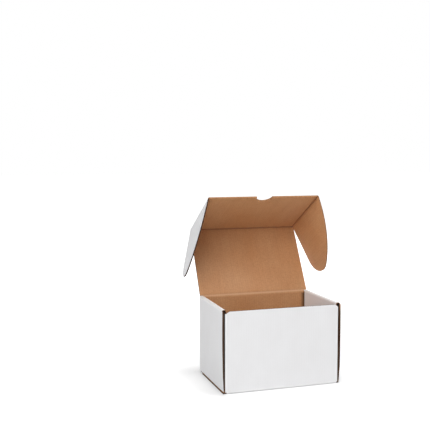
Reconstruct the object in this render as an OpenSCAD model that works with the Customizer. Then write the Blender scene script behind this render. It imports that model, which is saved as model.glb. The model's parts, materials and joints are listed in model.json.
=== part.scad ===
// Die-cut corrugated mailer box, folded from one sheet and standing open.
// The side walls roll over the dust flaps and lock into the floor, and the lid
// ends in a tuck flap with two rounded ears.
//
// Frame: origin on the table under the middle of the box, +Z up, front panel
// towards -Y, width along X. Units are millimetres.
//
// Every panel is drawn flat in its own frame: white outer face at z = 0, kraft
// inner face at z = board_t, starting at y = 0 on the crease that carries it.
// crease() bends the board towards its inner face and puts its children past
// the bend, so the box is folded up in the code as it is on the bench.

/* [Inside] */
// Clear width between the two rolled side walls
inside_w = 150; // [120:1:240]
// Clear depth between the front and the back panel
inside_d = 102; // [80:1:140]
// Clear height from the floor flaps to the closed lid
inside_h = 102; // [90:1:170]

/* [Board] */
// Thickness of the corrugated board
board_t = 1.7; // [1.4:0.1:2.4]
// Thickness of each of its two paper liners
liner_t = 0.25; // [0.15:0.05:0.35]
// Thickness of the wavy paper between the liners
medium_t = 0.2; // [0.1:0.05:0.3]
// Distance from one flute crest to the next
flute_pitch = 3.3; // [2.4:0.1:4.5]
// Inner radius of a folded crease
crease_r = 0.4; // [0.2:0.1:0.8]
// Play between two layers of board that lie together
layer_gap = 0.25; // [0.2:0.05:0.5]
// Half of the gap left in the creases that move
hinge_gap = 0.15; // [0.1:0.05:0.3]

/* [Tray] */
// How far the front panel's top edge stays below the rolled side walls
front_drop = 1; // [0.5:0.5:6]
// Cut corner at each end of the front panel's top edge
front_corner = 1.6; // [0.5:0.1:4]
// How far a dust flap's top edge stays below the underside of the roll
dust_drop = 2.5; // [1:0.5:20]
// Free end of a dust flap, measured from the back panel
dust_end_gap = 1; // [0.5:0.5:30]
// Cut corners at the free end of a dust flap
dust_corner = 6; // [1:0.5:20]
// Play between the rolled flap's front edge and the front panel
roll_play = 0.7; // [0.4:0.1:4]
// Play between the rolled flap or a floor flap and the back panel
back_play = 0.8; // [0.4:0.1:3]
// Width over which the two floor flaps lap in the middle
floor_lap = 32; // [10:1:60]
// Raw side edge of the bottom panel, measured in from the side wall
bottom_inset = 0.6; // [0:0.1:2]
// Cut corner on a rolled flap, along the front
roll_corner_d = 20; // [5:1:30]
// Cut corner on a rolled flap, along its height
roll_corner_h = 28; // [5:1:50]
// Width of the lock tab on a rolled flap
tab_w = 31; // [15:1:40]
// Middle of the lock tab, measured from the back face
tab_from_back = 49; // [35:1:60]
// Play around the lock tab in its slot
tab_play = 0.6; // [0.3:0.1:1.5]
// Narrowing of the lock tab towards its end, on each side
tab_taper = 1; // [0:0.5:3]

/* [Lid] */
// Raw side edge of the lid, measured in from the side wall
lid_inset = 1; // [0.2:0.1:3]
// Play between the closed lid and the rolled side walls
lid_play = 0.2; // [0.1:0.1:1]
// Angle at which the lid stands open, measured from closed
lid_angle = 119.5; // [60:0.5:180]

/* [Tuck flap] */
// Play between the tucked flap and the front panel
tuck_play = 0.3; // [0.2:0.1:1.5]
// Play between the tucked flap's free edge and the floor flaps
tuck_floor_play = 1.9; // [1:0.1:12]
// Raw end of the flap's fold line, measured in from the lid's side edge
flap_inset = 0.3; // [0:0.1:3]
// Angle of the tuck flap, measured from flat in line with the lid
flap_angle = 90; // [0:0.5:92]
// Radius of the thumb notch in the free edge
notch_r = 11; // [6:0.5:16]

/* [Ears] */
// Angle of each ear, measured from flat in line with the tuck flap
ear_angle = 74; // [0:0.5:90]
// Tip of a tucked ear, measured from the back panel
ear_end_gap = 17; // [5:1:40]
// Radius of the ear's rounded tip
ear_tip_r = 26; // [12:1:30]
// Angle at which the ear's long curve leaves the free edge of the flap
ear_lead = 11.8; // [8:0.2:14]
// Play between the ear's straight foot and the inside of the lid
ear_foot_play = 0.5; // [0.4:0.1:3]
// Slope of the foot away from the lid
ear_foot_slope = 2.5; // [2.5:0.1:6]

/* [Hidden] */
$fn = 48;

// Colours of the clay-coated outside and of the kraft inside
WHITE = [0.90, 0.90, 0.90];
KRAFT = [0.70, 0.50, 0.34];

// Folds
bend_r = board_t + crease_r;
layer_step = board_t + layer_gap;
side_build = 2 * layer_step + board_t;

// Outside of the tray
tray_w = inside_w + 2 * side_build;
tray_d = inside_d + 2 * board_t;
floor_top = board_t + layer_step;
tray_h = floor_top + inside_h;

// Heights, from the table
wall_low = layer_step + bend_r;
wall_high = tray_h - bend_r;
flap_low = floor_top + layer_gap;
front_top = tray_h - front_drop;
dust_low = flap_low + layer_gap;
dust_high = tray_h - board_t - dust_drop;

// Flat stretches between creases
floor_y = tray_d / 2 - bend_r;
back_x = tray_w / 2 - bend_r;
front_x = tray_w / 2 - layer_step - bend_r;
wall_len = tray_d - bend_r;
dust_len = tray_d - bend_r - board_t - dust_end_gap;
roll_flat = side_build - 2 * bend_r;
roll_back = board_t + back_play - bend_r;
roll_front = wall_len - board_t - roll_play;
floor_flap_back = roll_back + back_play;
floor_flap_len = back_x + floor_lap / 2;
slot_in = side_build - bend_r + tab_play;
slope_start = slot_in + tab_play;
lap_angle = atan(layer_step / (2 * back_x - floor_flap_len - slope_start));

// Lid, with its hinge line on the kraft face of the back panel
hinge_y = tray_d / 2 - board_t;
hinge_z = tray_h + lid_play;
lid_w = tray_w - 2 * lid_inset;
lid_len = inside_d - tuck_play;
lid_back_bevel = 45;

// Tuck flap and ears, with their fold lines on the white face
flap_len = hinge_z + board_t - floor_top - tuck_floor_play;
flap_w = lid_w - 2 * flap_inset;
fold_bevel = 47;
flute_run = notch_r + flute_pitch;
ear_reach = inside_d - ear_end_gap;
ear_foot = flap_len - board_t - ear_foot_play;

// Core between the liners
core_t = board_t - 2 * liner_t;
groove_d = 0.4 * flute_pitch;

// Finest step of a drawn curve, and how far a cut runs past the piece it cuts
arc_step = 3;
overcut = 1;
eps = 0.01;

// Points on a circle, from angle a to angle b
function arc(centre, r, a, b) =
    let (steps = ceil(abs(b - a) / arc_step))
    [for (i = [0:steps]) let (s = a + (b - a) * i / steps) centre + r * [cos(s), sin(s)]];

// A flat piece of board with the given outline
module panel(outline) {
    linear_extrude(board_t) polygon(outline);
}

module rect_panel(x0, x1, y0, y1) {
    panel([[x0, y0], [x1, y0], [x1, y1], [x0, y1]]);
}

// The bend along y = 0 from x0 to x1, and the children past it
module crease(angle, x0, x1) {
    translate([x0, 0, bend_r])
        rotate([0, 90, 0])
            rotate_extrude(angle = angle)
                translate([crease_r, 0]) square([board_t, x1 - x0]);
    translate([0, 0, bend_r]) rotate([angle, 0, 0]) translate([0, 0, -bend_r]) children();
}

// Turns a frame so that its +y points along the panel's +x or -x
module towards_plus_x(x) {
    translate([x, 0, 0]) rotate([0, 0, -90]) children();
}

module towards_minus_x(x) {
    translate([x, 0, 0]) rotate([0, 0, 90]) children();
}

module both_sides() {
    children();
    mirror([1, 0, 0]) children();
}

// A raw edge that runs along the flutes shows the hollow between the liners.
// The groove runs along x from x0 to x1 and opens at y.
module edge_groove(x0, x1, y) {
    translate([x0, y - groove_d, liner_t]) cube([x1 - x0, groove_d + eps, core_t]);
}

// Removes the end of a board past y, sloping by angle from the face at z = pivot
module bevel(x0, x1, y, angle, pivot) {
    run = (board_t + 2 * eps) * tan(angle);
    far = 2 * board_t * tan(angle) + overcut;
    start = pivot == 0 ? [y, y - run] : [y - run, y];
    translate([x0 - overcut, 0, 0])
        rotate([90, 0, 90])
            linear_extrude(x1 - x0 + 2 * overcut)
                polygon([[start[0], -eps], [y + far, -eps], [y + far, board_t + eps],
                         [start[1], board_t + eps]]);
}

// One hollow of the fluted core, between the wave and the outer or inner liner
module flute_cell(length, inner) {
    foot = flute_pitch / 2 - medium_t;
    z0 = inner ? board_t - liner_t : liner_t;
    z1 = inner ? liner_t + medium_t : board_t - liner_t - medium_t;
    rotate([90, 0, 0])
        translate([0, 0, -length])
            linear_extrude(length) polygon([[-foot, z0], [foot, z0], [medium_t, z1], [-medium_t, z1]]);
}

// The hollows of a board from x0 to x1, running along y from y0 to y1
module flutes(x0, x1, y0, y1) {
    count = floor((x1 - x0) / flute_pitch - 0.5);
    first = (x0 + x1 - (count - 1) * flute_pitch) / 2;
    for (i = [0:count - 1])
        translate([first + i * flute_pitch, y0, 0]) flute_cell(y1 - y0, false);
    for (i = [0:count - 2])
        translate([first + (i + 0.5) * flute_pitch, y0, 0]) flute_cell(y1 - y0, true);
}

// Bottom panel, the outermost layer under the box
module bottom_panel() {
    half = tray_w / 2 - bottom_inset;
    difference() {
        rect_panel(-half, half, -floor_y, floor_y);
        both_sides() towards_plus_x(0) edge_groove(-floor_y - eps, floor_y + eps, half);
    }
}

// Dust flap, folded back between the side wall and the rolled flap
module dust_flap() {
    low = dust_low - bend_r;
    high = dust_high - bend_r;
    crease(90, -high, -low)
        panel([[-high, 0], [-low, 0], [-low, dust_len - dust_corner], [-low - dust_corner, dust_len],
               [-high + dust_corner, dust_len], [-high, dust_len - dust_corner]]);
}

// Front panel with its two dust flaps
module front_panel() {
    high = front_top - bend_r;
    panel([[-front_x, 0], [front_x, 0], [front_x, high - front_corner], [front_x - front_corner, high],
           [front_corner - front_x, high], [-front_x, high - front_corner]]);
    both_sides() towards_plus_x(front_x) dust_flap();
}

// Inner flap of a side wall, rolled over its top edge, with the lock tab
module rolled_flap() {
    drop = wall_high - flap_low;
    tab_mid = tab_from_back - bend_r;
    tab_drop = drop + floor_top - board_t;
    crease(90, roll_back, roll_front) {
        rect_panel(roll_back, roll_front, 0, roll_flat);
        translate([0, roll_flat, 0])
            crease(90, roll_back, roll_front)
                panel([[roll_back, 0], [roll_front, 0], [roll_front, drop - roll_corner_h],
                       [roll_front - roll_corner_d, drop], [tab_mid + tab_w / 2, drop],
                       [tab_mid + tab_w / 2 - tab_taper, tab_drop],
                       [tab_mid - tab_w / 2 + tab_taper, tab_drop],
                       [tab_mid - tab_w / 2, drop], [roll_back, drop]]);
    }
}

// Floor flap of a side wall, laid on the bottom panel, with the lock slot.
// The second one slopes up past its slot, to lie on the end of the first.
module floor_flap(slope) {
    tab_mid = tab_from_back - bend_r;
    slot_half = tab_w / 2 + tab_play;
    run = floor_flap_len - slope_start;
    end = [slope_start + run * cos(slope), run * sin(slope)];
    crease(90, -wall_len, -floor_flap_back)
        difference() {
            translate([-roll_front, 0, 0])
                rotate([90, 0, 90])
                    linear_extrude(roll_front - floor_flap_back)
                        polygon([[0, 0], [slope_start, 0], end, end + board_t * [-sin(slope), cos(slope)],
                                 [slope_start - board_t * tan(slope / 2), board_t], [0, board_t]]);
            translate([-tab_mid - slot_half, -eps, -eps])
                cube([2 * slot_half, slot_in, board_t + 2 * eps]);
        }
}

// Side wall with its rolled flap above and its floor flap below
module side_wall(slope) {
    low = wall_low - bend_r;
    high = wall_high - bend_r;
    crease(90, -high, -low) {
        difference() {
            rect_panel(-high, -low, 0, wall_len);
            edge_groove(-high - eps, -low + eps, wall_len);
        }
        towards_minus_x(-high) rolled_flap();
        towards_plus_x(-low) floor_flap(slope);
    }
}

// Back panel, bevelled along the lid's hinge, with the two side walls
module back_panel() {
    high = hinge_z - hinge_gap - bend_r;
    difference() {
        rect_panel(-back_x, back_x, 0, high);
        bevel(-back_x, back_x, high, lid_back_bevel, board_t);
    }
    towards_plus_x(back_x) side_wall(lap_angle);
    mirror([1, 0, 0]) towards_plus_x(back_x) side_wall(0);
}

// The tray is one folded sheet
module tray() {
    color(WHITE) {
        bottom_panel();
        translate([0, -floor_y, 0]) rotate([0, 0, 180]) crease(90, -front_x, front_x) front_panel();
        translate([0, floor_y, 0]) crease(90, -back_x, back_x) back_panel();
    }
}

// Frames of the moving panels, each on the fold line of the one before
module on_lid() {
    translate([0, hinge_y, hinge_z]) rotate([180 - lid_angle, 0, 0]) translate([0, 0, -board_t]) children();
}

module on_tuck_flap() {
    on_lid() translate([0, lid_len, 0]) rotate([flap_angle, 0, 0]) children();
}

module on_right_ear() {
    on_tuck_flap() towards_plus_x(flap_w / 2) rotate([ear_angle, 0, 0]) children();
}

module on_left_ear() {
    on_tuck_flap() mirror([1, 0, 0]) towards_plus_x(flap_w / 2) rotate([ear_angle, 0, 0]) children();
}

// Lid panel, with the hollow flutes open along its raw side edges
module lid() {
    half = lid_w / 2;
    far = lid_len - hinge_gap;
    color(KRAFT) on_lid()
        difference() {
            rect_panel(-half, half, hinge_gap, far);
            bevel(-half, half, far, fold_bevel, 0);
            mirror([0, 1, 0]) bevel(-half, half, -hinge_gap, lid_back_bevel, board_t);
            both_sides() towards_plus_x(0) edge_groove(-far, -hinge_gap, half);
        }
}

// Tuck flap, with its thumb notch and with the flutes open at the free edge
module tuck_flap() {
    half = flap_w / 2 - hinge_gap;
    color(KRAFT) on_tuck_flap()
        difference() {
            rect_panel(-half, half, hinge_gap, flap_len);
            mirror([0, 1, 0]) bevel(-half, half, -hinge_gap, fold_bevel, 0);
            both_sides() towards_plus_x(0) bevel(-flap_len, 0, half, fold_bevel, 0);
            translate([0, flap_len, -eps]) cylinder(r = notch_r, h = board_t + 2 * eps);
            flutes(-half + board_t, half - board_t, flap_len - flute_run, flap_len + eps);
        }
}

// Outline of an ear in (distance from the free edge, distance from the fold).
// A long curve leaves the free edge and runs into the rounded tip, and the
// straight foot runs back to the fold.
function ear_outline() =
    let (
        tip_y = ear_reach - ear_tip_r,
        tip_x = ear_foot - tip_y * tan(ear_foot_slope) - ear_tip_r / cos(ear_foot_slope),
        lead = [cos(ear_lead), -sin(ear_lead)],
        tip = [tip_x, tip_y],
        sweep_r = (tip * tip - ear_tip_r * ear_tip_r) / (2 * (lead * tip - ear_tip_r)),
        sweep = sweep_r * lead,
        join = atan2(tip.y - sweep.y, tip.x - sweep.x)
    )
    concat(
        arc(sweep, sweep_r, 180 - ear_lead, join),
        arc(tip, ear_tip_r, join, ear_foot_slope),
        [[ear_foot, hinge_gap]]
    );

// An ear, with the flutes open all round its free edge
module ear() {
    color(KRAFT)
        difference() {
            translate([-flap_len, 0, 0]) panel(ear_outline());
            mirror([0, 1, 0]) bevel(-flap_len, 0, -hinge_gap, fold_bevel, 0);
            translate([-flap_len, 0, 0])
                mirror([1, -1, 0]) flutes(board_t + hinge_gap, ear_reach, -eps, flap_len);
        }
}

module right_ear() {
    on_right_ear() ear();
}

module left_ear() {
    on_left_ear() ear();
}

tray();
lid();
tuck_flap();
left_ear();
right_ear();
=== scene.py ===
"""Looks of a folded corrugated mailer box that stands open.

The box is cut, scored and folded here as on the bench. Each blank starts as one
flat sheet, white face down, and is cut to its outline. The panels are turned up
about their creases, the folded sheet is parted where the board really bends, and
every part then gets its board thickness, with white paper outside, brown paper
inside and fluted raw edges.
"""

from __future__ import annotations

import json
import logging
import math
from collections.abc import Iterator
from contextlib import contextmanager
from dataclasses import dataclass, field
from enum import Enum

import bpy
import numpy as np
from mathutils import Matrix, Vector

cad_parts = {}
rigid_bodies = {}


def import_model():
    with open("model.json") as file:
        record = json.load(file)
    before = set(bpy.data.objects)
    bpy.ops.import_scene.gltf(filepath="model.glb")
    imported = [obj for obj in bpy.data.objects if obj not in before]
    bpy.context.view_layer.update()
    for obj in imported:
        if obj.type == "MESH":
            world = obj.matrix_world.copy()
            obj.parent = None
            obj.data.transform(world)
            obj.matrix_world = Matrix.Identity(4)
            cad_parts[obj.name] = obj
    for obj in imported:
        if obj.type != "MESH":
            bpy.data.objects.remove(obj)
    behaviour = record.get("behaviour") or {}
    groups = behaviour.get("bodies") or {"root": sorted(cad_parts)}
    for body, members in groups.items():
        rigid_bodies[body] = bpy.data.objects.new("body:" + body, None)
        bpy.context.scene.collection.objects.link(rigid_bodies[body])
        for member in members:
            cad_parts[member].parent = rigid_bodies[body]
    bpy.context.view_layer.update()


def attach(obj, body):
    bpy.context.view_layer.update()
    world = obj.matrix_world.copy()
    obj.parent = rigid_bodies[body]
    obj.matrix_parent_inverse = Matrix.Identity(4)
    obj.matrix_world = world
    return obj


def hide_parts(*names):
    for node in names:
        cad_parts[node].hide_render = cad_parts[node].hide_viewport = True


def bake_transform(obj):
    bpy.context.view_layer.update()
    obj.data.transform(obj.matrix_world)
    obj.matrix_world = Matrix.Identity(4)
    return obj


LOG = logging.getLogger("mailer")
MM = 0.001

# How near counts as on: a place to a line, a cut to a vertex, both in metres, and
# a vertex to a row of a bend, as a share of the bend.
ON_LINE = 1e-6
ON_VERTEX = 1e-7
ON_ROW = 1e-4

# Numbers kept per vertex, and the UV map of the flat sheet in millimetres.
FLAT = "flat"
THROUGH = "through"
CREASE = "crease"
PRESSED = "pressed"
CLOSED = "closed"
PAINTED_SHADE = "painted_shade"
SHEET_UV = "sheet"

# Values of PAINTED_SHADE, the painted shade kept per vertex: where the brown face lies in the
# dark, and where both faces do.
BROWN_DARK = 1.0
BOTH_DARK = 2.0

# Degrees of a square fold, and of one at which the crease is pressed in whole.
SQUARE = 90.0
FULL_CREASE = 25.0

# Colour of all light that isn't tinted, with alpha.
WHITE_LIGHT = (1.0, 1.0, 1.0, 1.0)

Colour = tuple[float, float, float]
Place = tuple[float, float]


class Line(Enum):
    """Direction in which a crease runs on the flat sheet."""

    ALONG_U = "X"
    ALONG_V = "Y"


class Side(Enum):
    """Left or right half of the box, as the sign of its x."""

    LEFT = -1.0
    RIGHT = 1.0


# The half that each ear lies on, and its body.
EARS = ((Side.LEFT, "left_ear"), (Side.RIGHT, "right_ear"))


class Element(Enum):
    """What an operator acts on, by its name in a mesh."""

    POINTS = "vertices"
    FACES = "polygons"


@dataclass(frozen=True)
class Board:
    """Thin corrugated board.

    Args:
        thickness: Whole thickness.
        liner: Thickness of each flat paper.
        medium: Thickness of the wavy paper.
        flute_pitch: Distance from crest to crest.
        crease_r: Inner radius of a fold.
        crease_fade: Width beside a fold over which its crease fades out.
        crush: Share of the thickness that a crease loses.
        layer_gap: Play between layers that lie together.
        rows: Rows of faces in a fold.
    """

    thickness: float = 1.7 * MM
    liner: float = 0.25 * MM
    medium: float = 0.2 * MM
    flute_pitch: float = 3.3 * MM
    crease_r: float = 0.4 * MM
    crease_fade: float = 1.4 * MM
    crush: float = 0.45
    layer_gap: float = 0.25 * MM
    rows: int = 6

    @property
    def bend_r(self) -> float:
        """Outer radius of a fold."""
        return self.thickness + self.crease_r

    @property
    def step(self) -> float:
        """Distance from one layer to the next."""
        return self.thickness + self.layer_gap

    def bend_width(self, angle: float) -> float:
        """Width of flat board, along its middle, that a fold by so many degrees takes up."""
        return (self.crease_r + self.thickness / 2) * math.radians(angle)


@dataclass(frozen=True)
class Panel:
    """A rectangle of the flat sheet, from (u0, v0) to (u1, v1)."""

    u0: float
    v0: float
    u1: float
    v1: float

    def mirrored(self) -> Panel:
        """The same rectangle on the other half of the sheet."""
        return Panel(-self.u1, self.v0, -self.u0, self.v1)

    def on(self, side: Side) -> Panel:
        """The rectangle on the given half."""
        return self if side is Side.RIGHT else self.mirrored()

    def span(self, axis: int) -> tuple[float, float]:
        """From where to where it reaches along u, axis 0, or along v, axis 1."""
        return (self.v0, self.v1) if axis else (self.u0, self.u1)

    def holds(self, points: np.ndarray, margin: float = ON_LINE) -> np.ndarray:
        """Finds the points that lie in the rectangle.

        Args:
            points: Rows of flat coordinates.
            margin: How far outside still counts.

        Returns:
            One flag per row.
        """
        u, v = points[:, 0], points[:, 1]
        return (
            (u >= self.u0 - margin)
            & (u <= self.u1 + margin)
            & (v >= self.v0 - margin)
            & (v <= self.v1 + margin)
        )


@dataclass(frozen=True)
class Fold:
    """A crease of the sheet and what moves with it.

    Args:
        line: Direction of the crease.
        start: Where the bend starts, across the crease.
        sign: +1 or -1, the side on which the moving panel lies.
        angle: Angle of the fold in degrees, positive towards the brown face.
        zone: The rectangle that bends.
        past: The rectangles beyond it, which turn whole.
        radius: Height of the bend's axis over the white face.
    """

    line: Line
    start: float
    sign: float
    angle: float
    zone: Panel
    past: tuple[Panel, ...]
    radius: float

    @property
    def across(self) -> int:
        """Axis that runs across the crease, 0 for u and 1 for v."""
        return 1 if self.line is Line.ALONG_U else 0

    @property
    def width(self) -> float:
        """Flat width of the bend."""
        low, high = self.zone.span(self.across)
        return high - low

    def depth(self, flat: np.ndarray, fade: float) -> np.ndarray:
        """How deep in the crease points lie, below 0 where it opens the brown face.

        Args:
            flat: Rows of flat coordinates.
            fade: Width beside the bend over which the crease fades out.

        Returns:
            A value from -1 to 1 per row.
        """
        low, high = self.zone.span(self.across)
        first, last = self.zone.span(1 - self.across)
        across, along = flat[:, self.across], flat[:, 1 - self.across]
        away = np.maximum(low - across, across - high)
        beside = (along >= first - ON_LINE) & (along <= last + ON_LINE)
        strength = max(-1.0, min(1.0, self.angle / FULL_CREASE))
        return strength * beside * np.clip(1.0 - away / fade, 0.0, 1.0)


def on_side(side: Side, *panels: Panel) -> tuple[Panel, ...]:
    """The same rectangles on the given half."""
    return tuple(panel.on(side) for panel in panels)


def within(points: np.ndarray, *panels: Panel, margin: float = ON_LINE) -> np.ndarray:
    """Which of the points lie in one of the rectangles or a margin beside it."""
    return np.any([panel.holds(points, margin) for panel in panels], axis=0)


def edges_of(panels: tuple[Panel, ...], axis: int) -> list[float]:
    """Where the rectangles start and end along u, axis 0, or along v, axis 1."""
    return [place for panel in panels for place in panel.span(axis)]


def centred(low: float, high: float, pitch: float) -> list[float]:
    """Evenly spread lines strictly between two values, about a pitch apart."""
    count = max(1, round((high - low) / pitch))
    return [low + (high - low) * i / count for i in range(1, count)]


def bend_lines(zone: Panel, axis: int, board: Board) -> list[float]:
    """Lines that rule a bend.

    Args:
        zone: The rectangle that bends.
        axis: Axis across its crease, 0 for u and 1 for v.
        board: The board that it is in.

    Returns:
        Places of its fading margins, its edges and its rows.
    """
    low, high = zone.span(axis)
    rows = [low + (high - low) * i / board.rows for i in range(board.rows + 1)]
    return [low - board.crease_fade, *rows, high + board.crease_fade]


def distinct(values: list[float], least: float = 0.02 * MM) -> list[float]:
    """Sorts values and drops those too close to the one before.

    Args:
        values: The values in any order.
        least: Distance that two of them must have.

    Returns:
        The values that are kept, lowest first.
    """
    kept: list[float] = []
    for value in sorted(values):
        if not kept or value - kept[-1] > least:
            kept.append(value)
    return kept


def read(members: bpy.types.bpy_prop_collection, key: str, width: int = 1,
         kind: type = np.float32) -> np.ndarray:
    """Reads one property of every member of a mesh's collection.

    Args:
        members: The collection.
        key: Name of the property.
        width: Count of numbers that a member has.
        kind: Type of the numbers.

    Returns:
        One number per member, or one row each where the width is above 1.
    """
    values = np.empty(len(members) * width, kind)
    members.foreach_get(key, values)
    return values if width == 1 else values.reshape(-1, width).astype(float)


def select_only(obj: bpy.types.Object) -> None:
    """Makes an object the only one that operators act on.

    Args:
        obj: The object.
    """
    bpy.ops.object.select_all(action="DESELECT")
    obj.select_set(True)
    bpy.context.view_layer.objects.active = obj


class Sheet:
    """One flat sheet of board, worked on as a mesh with its white face down."""

    def __init__(self, name: str, panels: list[Panel], board: Board) -> None:
        """Lays the uncut sheet on the bench.

        Args:
            name: Name of the mesh object.
            panels: The panels that stay when the waste is stripped.
            board: The board it is cut from.
        """
        self.board = board
        self.panels = panels
        u0, u1 = min(p.u0 for p in panels), max(p.u1 for p in panels)
        v0, v1 = min(p.v0 for p in panels), max(p.v1 for p in panels)
        bpy.ops.object.select_all(action="DESELECT")
        bpy.ops.mesh.primitive_plane_add(size=1.0, calc_uvs=False)
        self.obj = bpy.context.object
        self.obj.name = name
        bpy.ops.object.mode_set(mode="EDIT")
        bpy.ops.mesh.select_all(action="SELECT")
        bpy.ops.mesh.flip_normals()
        bpy.ops.transform.resize(value=(u1 - u0, v1 - v0, 1.0))
        bpy.ops.transform.translate(value=((u0 + u1) / 2, (v0 + v1) / 2, 0.0))
        bpy.ops.object.mode_set(mode="OBJECT")

    def vertices(self) -> np.ndarray:
        """Present places of the vertices, one row each."""
        return read(self.obj.data.vertices, "co", 3)

    def centres(self) -> np.ndarray:
        """Centres of the faces, one row each."""
        return read(self.obj.data.polygons, "center", 3)

    def flat(self) -> np.ndarray:
        """Places of the vertices on the flat sheet, one row each."""
        return read(self.obj.data.attributes[FLAT].data, "vector", 3)

    def numbers(self, name: str) -> np.ndarray:
        """Values of a number that is kept per vertex."""
        return read(self.obj.data.attributes[name].data, "value")

    @contextmanager
    def chosen(self, kind: Element, mask: np.ndarray) -> Iterator[None]:
        """Opens the sheet in edit mode with only some of it selected.

        Args:
            kind: Whether points or faces are selected.
            mask: One flag for each of them.

        Yields:
            Nothing. The sheet is closed again when the block ends.
        """
        select_only(self.obj)
        for name in ("vertices", "edges", "polygons"):
            members = getattr(self.obj.data, name)
            flags = mask if name == kind.value else np.zeros(len(members), bool)
            members.foreach_set("select", flags)
        mode = (kind is Element.POINTS, False, kind is Element.FACES)
        bpy.context.tool_settings.mesh_select_mode = mode
        bpy.ops.object.mode_set(mode="EDIT")
        yield
        bpy.ops.object.mode_set(mode="OBJECT")

    def cut(self, where: Panel | None, point: Vector, normal: Vector, waste: bool = False) -> None:
        """Cuts faces along a straight line.

        Args:
            where: The rectangle whose faces are cut, or None for all.
            point: A point of the line.
            normal: Direction across the line, in the sheet's plane.
            waste: Whether what lies past the line is thrown away.
        """
        centres = self.centres()
        mask = np.ones(len(centres), bool) if where is None else where.holds(centres)
        with self.chosen(Element.FACES, mask):
            bpy.ops.mesh.bisect(
                plane_co=point, plane_no=normal, clear_outer=waste, threshold=ON_VERTEX
            )

    def score(self, us: list[float], vs: list[float], where: Panel | None = None) -> None:
        """Rules the sheet with lines across u and across v.

        Args:
            us: Places of the lines across u.
            vs: Places of the lines across v.
            where: The rectangle that is ruled, or None for all.
        """
        for axis, places in enumerate((us, vs)):
            normal = Vector.Fill(3, 0.0)
            normal[axis] = 1.0
            for place in distinct(places):
                self.cut(where, normal * place, normal)

    def discard(self, mask: np.ndarray) -> None:
        """Throws away the faces of the mask."""
        with self.chosen(Element.FACES, mask):
            bpy.ops.mesh.delete(type="FACE")

    def strip_waste(self, holes: tuple[Panel, ...] = ()) -> None:
        """Throws away all faces outside the panels or inside a hole.

        Args:
            holes: The rectangles that are open.
        """
        centres = self.centres()
        kept = within(centres, *self.panels)
        if holes:
            kept &= ~within(centres, *holes, margin=0.0)
        self.discard(~kept)

    def trim(self, where: Panel, outline: list[Vector]) -> None:
        """Trims a panel along an open run of points.

        Args:
            where: The panel.
            outline: The points, with what is kept on the left of their run.
        """
        for a, b in zip(outline, outline[1:]):
            along = b - a
            self.cut(where, a, Vector((along.y, -along.x, 0.0)).normalized(), waste=True)

    def record_flat(self) -> None:
        """Writes the flat places to an attribute and to the UV map, in millimetres."""
        mesh = self.obj.data
        points = self.vertices()
        flat = mesh.attributes.new(FLAT, "FLOAT_VECTOR", "POINT")
        flat.data.foreach_set("vector", points.astype(np.float32).ravel())
        for name in (CREASE, PRESSED, CLOSED, PAINTED_SHADE):
            mesh.attributes.new(name, "FLOAT", "POINT")
        layer = mesh.uv_layers.new(name=SHEET_UV)
        corner = read(mesh.loops, "vertex_index", kind=np.int32)
        places = (points[corner, :2] / MM).astype(np.float32)
        layer.data.foreach_set("uv", places.ravel())

    def fold(self, fold: Fold) -> None:
        """Turns up everything past a crease, with a round bend along it.

        Args:
            fold: The crease and its angle.
        """
        flat = self.flat()
        across, rows = fold.across, self.board.rows
        share = np.zeros(len(flat))
        inside = fold.zone.holds(flat)
        share[inside] = np.clip(
            fold.sign * (flat[inside, across] - fold.start) / fold.width, 0.0, 1.0
        )
        share[within(flat, *fold.past) & ~inside] = 1.0
        self._mark_crease(fold.depth(flat, self.board.crease_fade))
        shift = [0.0, 0.0, 0.0]
        shift[across] = -fold.sign * fold.width / rows
        centre = [0.0, 0.0, fold.radius]
        centre[across] = fold.start
        turn = fold.sign if fold.line is Line.ALONG_U else -fold.sign
        moved = [share >= row / rows - ON_ROW for row in range(1, rows + 1)]
        for points in moved:
            with self.chosen(Element.POINTS, points):
                bpy.ops.transform.translate(value=shift)
        for points in moved:
            with self.chosen(Element.POINTS, points):
                bpy.ops.transform.rotate(
                    value=-turn * math.radians(fold.angle) / rows,
                    orient_axis=fold.line.value,
                    orient_type="GLOBAL",
                    center_override=centre,
                )

    def mark(self, name: str, mask: np.ndarray, value: float | np.ndarray) -> None:
        """Raises a number that is kept per vertex.

        Args:
            name: Name of the attribute.
            mask: Which vertices are marked.
            value: The least value that they have from now on.
        """
        old = self.numbers(name)
        raised = np.where(mask, np.maximum(old, value), old)
        self.obj.data.attributes[name].data.foreach_set("value", raised.astype(np.float32))

    def _mark_crease(self, depth: np.ndarray) -> None:
        """Keeps the crease and how far it presses the board together.

        Args:
            depth: How deep in the crease each vertex lies, from -1 to 1.
        """
        old = self.numbers(CREASE)
        new = np.where(np.abs(depth) > np.abs(old), depth, old).astype(np.float32)
        self.obj.data.attributes[CREASE].data.foreach_set("value", new)
        self.mark(PRESSED, np.ones(len(depth), bool), self.board.crush * np.abs(depth))

    def place(self, matrix: Matrix) -> None:
        """Stands the folded sheet in its place on the box.

        Args:
            matrix: The place.
        """
        select_only(self.obj)
        self.obj.matrix_world = matrix
        bpy.ops.object.transform_apply(location=True, rotation=True, scale=True)

    def part_off(self, name: str, *panels: Panel) -> bpy.types.Object:
        """Cuts some panels off the folded sheet as a piece of their own.

        Args:
            name: Name of the new piece.
            panels: The rectangles that go with it.

        Returns:
            The new piece, still without thickness.
        """
        mesh = self.obj.data
        starts = read(mesh.polygons, "loop_start", kind=np.int32)
        totals = read(mesh.polygons, "loop_total", kind=np.int32)
        corner = read(mesh.loops, "vertex_index", kind=np.int32)
        middles = np.add.reduceat(self.flat()[corner], starts, axis=0) / totals[:, None]
        before = set(bpy.data.objects)
        with self.chosen(Element.FACES, within(middles, *panels)):
            bpy.ops.mesh.separate(type="SELECTED")
        piece = next(o for o in bpy.data.objects if o not in before)
        piece.name = name
        return piece


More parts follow.
